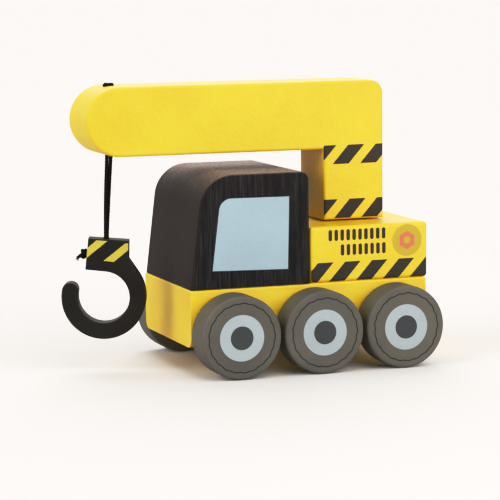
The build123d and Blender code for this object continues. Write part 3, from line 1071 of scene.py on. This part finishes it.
@dataclass
class Strand:
    """A twisted three-ply cord that follows a route. Metres."""

    diameter: float
    plies: int = 3
    ply_share: float = 0.272  # a ply's radius over the strand's diameter
    pitch: float = 0.0042
    sides: int = 8
    steps_per_turn: int = 14
    route_steps: int = 24  # points read from each span of the route

    def route(self, name: str, points: list[Spot]) -> list[Vector]:
        """Draws the route as a smooth curve and reads its points back.

        Args:
            name: a name for the curve.
            points: the route's control points in millimetres.

        Returns:
            Close points along the smooth line, in metres.
        """
        curve = bpy.data.curves.new(name, "CURVE")
        curve.dimensions = "3D"
        spline = curve.splines.new("NURBS")
        spline.points.add(len(points) - 1)
        for control, place in zip(spline.points, points):
            control.co = (*(value * MM for value in place), 1.0)
        spline.order_u = 3
        spline.use_endpoint_u = True
        spline.resolution_u = self.route_steps
        carrier = bpy.data.objects.new(name, curve)
        bpy.context.scene.collection.objects.link(carrier)
        bpy.context.view_layer.update()
        graph = bpy.context.evaluated_depsgraph_get()
        line = bpy.data.meshes.new_from_object(carrier.evaluated_get(graph))
        path = [vert.co.copy() for vert in line.vertices]
        bpy.data.meshes.remove(line)
        bpy.data.objects.remove(carrier)
        bpy.data.curves.remove(curve)
        return path

    @staticmethod
    def spaced(path: list[Vector], step: float) -> list[Vector]:
        """Points along a path at an even spacing.

        Args:
            path: the path.
            step: the spacing wanted, in metres.

        Returns:
            The points, from the path's start to its end.
        """
        lengths = [0.0]
        for first, second in zip(path, path[1:]):
            lengths.append(lengths[-1] + (second - first).length)
        count = max(2, round(lengths[-1] / step))
        spots, leg = [], 0
        for index in range(count + 1):
            target = lengths[-1] * index / count
            while leg < len(path) - 2 and lengths[leg + 1] < target:
                leg += 1
            span = lengths[leg + 1] - lengths[leg]
            spots.append(path[leg].lerp(path[leg + 1], min(1.0, (target - lengths[leg]) / span)))
        return spots

    def tube(self, bm: Mesh, line: list[Vector], radius: float) -> None:
        """Pulls a round section along a line and closes both its ends.

        Args:
            bm: the mesh that the tube is added to.
            line: its centre line.
            radius: its radius in metres.
        """
        heading = (line[1] - line[0]).normalized()
        turn = heading.to_track_quat("Z", "Y").to_matrix().to_4x4()
        start = Matrix.Translation(line[0]) @ turn
        made = bmesh.ops.create_circle(
            bm, cap_ends=True, segments=self.sides, radius=radius, matrix=start
        )
        rim = list({edge for vert in made["verts"] for edge in vert.link_edges})
        for index in range(1, len(line)):
            grown = bmesh.ops.extrude_edge_only(bm, edges=rim)["geom"]
            verts = [item for item in grown if isinstance(item, bmesh.types.BMVert)]
            rim = [item for item in grown if isinstance(item, bmesh.types.BMEdge)]
            after = line[min(index + 1, len(line) - 1)]
            way = (after - line[index - 1]).normalized()
            bend = heading.rotation_difference(way).to_matrix().to_4x4()
            move = Matrix.Translation(line[index]) @ bend @ Matrix.Translation(-line[index - 1])
            bmesh.ops.transform(bm, matrix=move, verts=verts)
            heading = way
        bmesh.ops.contextual_create(bm, geom=rim)

    def twist(self, bm: Mesh, path: list[Vector]) -> None:
        """Winds the plies round a path.

        Args:
            bm: the mesh that the plies are added to.
            path: the strand's centre line.
        """
        ply_radius = self.diameter * self.ply_share
        offset = self.diameter / 2 - ply_radius
        line = self.spaced(path, self.pitch / self.steps_per_turn)
        frames, side = [], Vector((0, 1, 0))
        for index, spot in enumerate(line):
            before, after = line[max(index - 1, 0)], line[min(index + 1, len(line) - 1)]
            way = (after - before).normalized()
            side = (side - way * side.dot(way)).normalized()
            frames.append((spot, side.copy(), way.cross(side)))
        for ply in range(self.plies):
            wound_line = []
            for index, (spot, right, up) in enumerate(frames):
                angle = 2 * math.pi * (index / self.steps_per_turn + ply / self.plies)
                wound_line.append(spot + (right * math.cos(angle) + up * math.sin(angle)) * offset)
            self.tube(bm, wound_line, ply_radius)

    def solid(self, name: str, points: list[Spot]) -> tuple[Mesh, list[Vector]]:
        """A whole strand.

        Args:
            name: a name for its route.
            points: the route's control points in millimetres.

        Returns:
            The mesh and the strand's centre line.
        """
        path = self.route(name, points)
        bm = bmesh.new()
        self.twist(bm, path)
        bmesh.ops.recalc_face_normals(bm, faces=bm.faces[:])
        return bm, path


def scatter(draw: random.Random, reach: float) -> Vector:
    """A random step of up to reach along each axis."""
    return Vector([draw.uniform(-reach, reach) for _ in range(3)])


@dataclass
class Tackle:
    """The cords, knots and hook. Millimetres in the object's frame, as in the CAD routes."""

    diameter: float = 1.75
    fluff: float = 0.1  # how much wider the loose fibres make a strand
    lift_front: tuple[Spot, ...] = (
        (-62.0891, 0.0, 99.35), (-63.4744, -0.5047, 79.1012), (-63.6539, -0.7844, 59.0525),
    )
    lift_rear: tuple[Spot, ...] = (
        (-60.2391, 0.0, 99.35), (-61.6534, 0.5047, 79.1012), (-62.6735, 0.7844, 59.0525),
    )
    lift_length: float = 40.15
    boom_front: tuple[Spot, ...] = (
        (-62.0891, 0.0, 130.65), (-62.0891, 0.0, 115.0), (-62.0891, 0.0, 99.75),
    )
    boom_rear: tuple[Spot, ...] = (
        (-60.2391, 0.0, 130.65), (-60.2391, 0.0, 115.0), (-60.2391, 0.0, 99.75),
    )
    head_turn: tuple[Spot, ...] = (
        (-63.272, -0.003, 57.858), (-63.546, 0.102, 53.668), (-71.2795, 3.1536, 54.2473),
    )
    bunch: float = 2.4
    boom_knot_at: Spot = (-61.1641, 0.0, 131.1)
    boom_knot_reach: float = 2.15
    boom_knot_rise: float = 0.22
    hook_knot_at: Spot = (-72.75, 3.72, 54.3)
    hook_knot_reach: float = 2.0
    hook_knot_rise: float = 0.9
    knot_cord: float = 1.6
    knot_pitch: float = 2.4
    knot_steps: int = 24
    tail_way: Spot = (-0.774, 0.2971, -0.5592)
    tail_length: float = 3.0
    fray_count: int = 26
    fray_length: float = 1.9
    fray_step: float = 0.3
    fray_scatter: float = 0.45  # how far from the tail's end a fibre starts
    fray_root: float = 0.4  # how far inside the tail it starts
    fray_spread: float = 0.75
    fray_sag: Flat = (0.1, 0.5)
    fray_share: Flat = (0.45, 1.0)
    fray_seed: int = 7
    fibre: float = 0.2

    def hang_cords(self) -> None:
        """The two hanging strands, twisted, in place of the CAD ones."""
        strand = Strand((self.diameter + self.fluff) * MM)
        for name, points in (("front", self.lift_front), ("rear", self.lift_rear)):
            bm, path = strand.solid(f"lift_{name}", list(points))
            replaced = (f"lift_cord_{name}",)
            piece = make_piece(bm, f"lift_strand_{name}", "cord", CORD_BLACK, replaced)

    def thread_cords(self) -> None:
        """The strands inside the boom and their turn inside the hook's head."""
        strand = Strand(self.diameter * MM, sides=6, steps_per_turn=8)
        whole = bmesh.new()
        for points in (self.boom_front, self.boom_rear):
            join(whole, strand.solid("boom_run", list(points))[0])
        hidden = ("boom_cord_front", "boom_cord_rear")
        make_piece(whole, "boom_strands", "arm", CORD_BLACK, hidden)
        turn = Strand(self.bunch * MM, sides=6, steps_per_turn=8)
        bm = turn.solid("head_turn", list(self.head_turn))[0]
        make_piece(bm, "head_strand", "hook", CORD_BLACK, ("hook_cord",))

    def knot(self, reach: float, rise: float, at: Spot, axis: Vector) -> Mesh:
        """An overhand knot pulled tight, drawn as a closed three-lobed loop of twisted cord.

        Args:
            reach: the loop's outer reach.
            rise: how far it weaves up and down along its axis.
            at: its centre.
            axis: the direction of the cord that runs through it.

        Returns:
            The mesh.
        """
        place = Matrix.Translation(Vector(at)) @ axis.to_track_quat("Z", "Y").to_matrix().to_4x4()
        points = []
        for step in range(self.knot_steps + 1):
            turn = 2 * math.pi * step / self.knot_steps
            spot = Vector((
                (math.sin(turn) + 2 * math.sin(2 * turn)) * reach / 3,
                (math.cos(turn) - 2 * math.cos(2 * turn)) * reach / 3,
                -math.sin(3 * turn) * rise,
            ))
            points.append(tuple(place @ spot))
        cord = Strand(self.knot_cord * MM, pitch=self.knot_pitch * MM, sides=7)
        return cord.solid("knot", points)[0]

    def tie_knots(self) -> None:
        """The low stopper knot on the boom, and the hook's knot with its frayed tail."""
        upright = Vector((0, 0, 1))
        stopper = self.knot(self.boom_knot_reach, self.boom_knot_rise, self.boom_knot_at, upright)
        make_piece(stopper, "boom_stopper_knot", "arm", CORD_BLACK, ("boom_knot",))
        way, centre = Vector(self.tail_way), Vector(self.hook_knot_at)
        across = Vector(HookPrints.across)
        whole = self.knot(self.hook_knot_reach, self.hook_knot_rise, self.hook_knot_at, across)
        end = centre + way * self.tail_length
        tail = [tuple(centre), tuple(centre + way * self.tail_length / 2), tuple(end)]
        join(whole, Strand(self.diameter * MM, sides=7).solid("tail", tail)[0])
        draw = random.Random(self.fray_seed)
        fibre = Strand(self.fibre * MM)
        for _ in range(self.fray_count):
            start = end + scatter(draw, self.fray_scatter) - way * self.fray_root
            spread = (way + scatter(draw, self.fray_spread)).normalized()
            sag = Vector((0, 0, -draw.uniform(*self.fray_sag)))
            length = self.fray_length * draw.uniform(*self.fray_share)
            points = [start, start + spread * length / 2, start + spread * length + sag]
            line = fibre.route("fibre", [tuple(point) for point in points])
            fibre.tube(whole, fibre.spaced(line, self.fray_step * MM), self.fibre * MM / 2)
        bmesh.ops.recalc_face_normals(whole, faces=whole.faces[:])
        make_piece(whole, "hook_tail_knot", "hook", CORD_BLACK, ("hook_knot",))

    def build(self) -> None:
        """Makes the cords first, then their knots, and finishes the hook."""
        self.hang_cords()
        self.thread_cords()
        self.tie_knots()
        dress("hook", HOOK_PAINT)


@dataclass
class HookPrints:
    """The yellow stripes on both faces of the hook's head. Millimetres on the plate."""

    head_top: Spot = (-61.9465, -0.428994, 60.9663)
    across: Spot = (0.931306, -0.357495, -0.069756)
    up: Spot = (0.065123, -0.024998, 0.997564)
    half_thickness: float = 4.5
    wrap: float = 0.3
    stripes: tuple[tuple[Flat, ...], ...] = (
        ((-12.0, -11.2), (-9.3, -8.92), (-0.35, -0.68), (-5.37, -0.63), (-12.0, -7.0)),
        ((-1.7, -9.9), (3.1, -10.06), (12.0, -1.8), (12.0, -1.0), (7.9, -1.2)),
    )

    def build(self) -> None:
        """Cuts the stripes from the hook's own surface and lays them on it."""
        across, up = Vector(self.across), Vector(self.up)
        whole = bmesh.new()
        for turn in (1, -1):
            out = across.cross(up) * turn
            origin = Vector(self.head_top) * MM + out * self.half_thickness * MM
            board = Board(origin, across, up, out)
            skin = SkinPrint("hook", board, self.wrap * MM)
            outlines = [list(s) if turn > 0 else list(s)[::-1] for s in self.stripes]
            join(whole, skin.collect(outlines))
        make_piece(whole, "hook_stripes", "hook", YELLOW_PRINT)


# ---- studio


@dataclass
class Studio:
    """The floor, the soft light and the camera. Metres."""

    floor_size: float = 60.0
    floor_drop: float = 0.0002  # how far below the wheels it lies
    floor_colour: Colour = linear(252, 246, 241)
    camera_at: Spot = (-0.35842, -1.00327, 0.18794)
    camera_right: Spot = (0.939233, -0.343147, -0.009546)
    camera_up: Spot = (0.052250, 0.115420, 0.991942)
    camera_back: Spot = (-0.339280, -0.932163, 0.126335)
    focal_length: float = 165.6
    sensor: float = 36.0
    clip: Flat = (0.05, 200.0)
    lamps: tuple[tuple[str, Spot, float, float], ...] = (
        ("front_key", (0.35, -0.8, 0.7), 1.9, 75.0),
        ("left_key", (-1.0, -0.15, 0.5), 2.0, 50.0),
        ("top_key", (0.1, 0.6, 0.8), 1.7, 50.0),
    )
    sky_colour: Colour = linear(252, 250, 248)
    sky_front: float = 0.35
    sky_back: float = 2.2
    sky_turn: Flat = (0.5, 1.0)  # where the sky starts and ends growing bright
    backdrop: float = 1.3  # the sky's strength where it is seen
    panel_at: Spot = (0.42, -0.85, 0.24)
    panel_size: float = 0.35
    panel_power: float = 2.0
    glossy_share: float = 0.6  # how much of the floor's colour reflections get
    bounce_share: float = 0.6  # how much of it bounced light gets
    white_level: float = 1.5
    tone: tuple[Flat, ...] = (
        (0.0, 0.0), (0.1, 0.06), (0.217, 0.125), (0.35, 0.24), (0.6, 0.5), (0.806, 0.679),
        (1.0, 0.79), (1.235, 0.89), (1.5, 0.975),
    )

    def place_camera(self) -> None:
        """Sets the camera at its spot and turn."""
        data = bpy.data.cameras.new("camera")
        data.lens = self.focal_length
        data.sensor_width = self.sensor
        data.clip_start, data.clip_end = self.clip
        camera = bpy.data.objects.new("camera", data)
        axes = Matrix((self.camera_right, self.camera_up, self.camera_back)).transposed()
        camera.matrix_world = Matrix.Translation(self.camera_at) @ axes.to_4x4()
        bpy.context.scene.collection.objects.link(camera)
        bpy.context.scene.camera = camera

    def lay_floor(self) -> None:
        """A wide pale floor just under the wheels."""
        bm = bmesh.new()
        bmesh.ops.create_grid(bm, x_segments=2, y_segments=2, size=self.floor_size)
        bmesh.ops.translate(bm, vec=(0, 0, -self.floor_drop), verts=bm.verts[:])
        mesh = bpy.data.meshes.new("floor")
        bm.to_mesh(mesh)
        bm.free()
        floor = bpy.data.objects.new("floor", mesh)
        bpy.context.scene.collection.objects.link(floor)
        material = bpy.data.materials.new("floor_matt")
        material.use_nodes = True
        shader = material.node_tree.nodes["Principled BSDF"]
        shader.inputs["Base Color"].default_value = rgba(self.floor_colour)
        shader.inputs["Roughness"].default_value = 1.0
        shader.inputs["Specular IOR Level"].default_value = 0.0
        kit = NodeKit(material.node_tree)
        colour = self.floor_colour
        shares = (("Is Glossy Ray", self.glossy_share), ("Is Diffuse Ray", self.bounce_share))
        for ray, share in shares:
            dim = tuple(value * share for value in self.floor_colour)
            colour = kit.mix(kit.add("ShaderNodeLightPath").outputs[ray], colour, dim)
        kit.feed(shader.inputs["Base Color"], colour)
        mesh.materials.append(material)

    def hang_lights(self) -> None:
        """A sky, bright behind the object and dim before it, three broad lamps and a soft panel."""
        world = bpy.data.worlds.new("studio")
        bpy.context.scene.world = world
        world.use_nodes = True
        kit = NodeKit(world.node_tree)
        seen = world.node_tree.nodes["Background"]
        seen.inputs["Color"].default_value = rgba(self.floor_colour)
        seen.inputs["Strength"].default_value = self.backdrop
        way = kit.add("ShaderNodeTexCoord").outputs["Generated"]
        backward = kit.add("ShaderNodeVectorMath", operation="DOT_PRODUCT")
        backward.inputs[1].default_value = [-value for value in self.camera_back]
        kit.feed(backward.inputs[0], way)
        spread = kit.add("ShaderNodeMapRange", interpolation_type="SMOOTHSTEP")
        limits = (*self.sky_turn, self.sky_front, self.sky_back)
        for label, value in zip(("From Min", "From Max", "To Min", "To Max"), limits):
            spread.inputs[label].default_value = value
        kit.feed(spread.inputs["Value"], backward.outputs["Value"])
        lit = kit.add("ShaderNodeBackground")
        lit.inputs["Color"].default_value = rgba(self.sky_colour)
        kit.feed(lit.inputs["Strength"], spread.outputs["Result"])
        choose = kit.add("ShaderNodeMixShader")
        kit.feed(choose.inputs["Fac"], kit.add("ShaderNodeLightPath").outputs["Is Camera Ray"])
        kit.feed(choose.inputs[1], lit.outputs["Background"])
        kit.feed(choose.inputs[2], seen.outputs["Background"])
        kit.feed(world.node_tree.nodes["World Output"].inputs["Surface"], choose.outputs["Shader"])
        for name, source, strength, angle in self.lamps:
            light = bpy.data.lights.new(name, "SUN")
            light.energy = strength
            light.angle = math.radians(angle)
            lamp = bpy.data.objects.new(name, light)
            lamp.rotation_mode = "QUATERNION"
            lamp.rotation_quaternion = Vector(source).to_track_quat("Z", "Y")
            bpy.context.scene.collection.objects.link(lamp)
        panel_light = bpy.data.lights.new("panel", "AREA")
        panel_light.energy = self.panel_power
        panel_light.size = self.panel_size
        panel = bpy.data.objects.new("panel", panel_light)
        panel.rotation_mode = "QUATERNION"
        panel.rotation_quaternion = Vector(self.panel_at).to_track_quat("Z", "Y")
        panel.location = self.panel_at
        bpy.context.scene.collection.objects.link(panel)

    def set_view(self) -> None:
        """Plain display colours, with a camera's gentle tone curve."""
        settings = bpy.context.scene.view_settings
        settings.view_transform = "Standard"
        settings.look = "None"
        settings.exposure = 0.0
        settings.gamma = 1.0
        settings.use_curve_mapping = True
        mapping = settings.curve_mapping
        mapping.white_level = (self.white_level,) * 3
        curve = mapping.curves[3]
        first, last = self.tone[0], self.tone[-1]
        curve.points[0].location = (first[0] / self.white_level, first[1])
        curve.points[1].location = (last[0] / self.white_level, last[1])
        for level, shown in self.tone[1:-1]:
            curve.points.new(level / self.white_level, shown)
        mapping.update()

    def build(self) -> None:
        """Sets up everything round the object."""
        self.place_camera()
        self.lay_floor()
        self.hang_lights()
        self.set_view()


def main() -> None:
    Studio().build()
    Tackle().build()
    HookPrints().build()
    truck = Truck()
    truck.dress()
    truck.print_stripes()
    truck.print_windows()
    truck.print_vents()
    truck.print_badges()
    arm = Arm()
    arm.dress()
    arm.print_stripes()
    for row in ("front", "middle", "rear"):
        WheelRow(row).build()


if __name__ == "__main__":
    main()
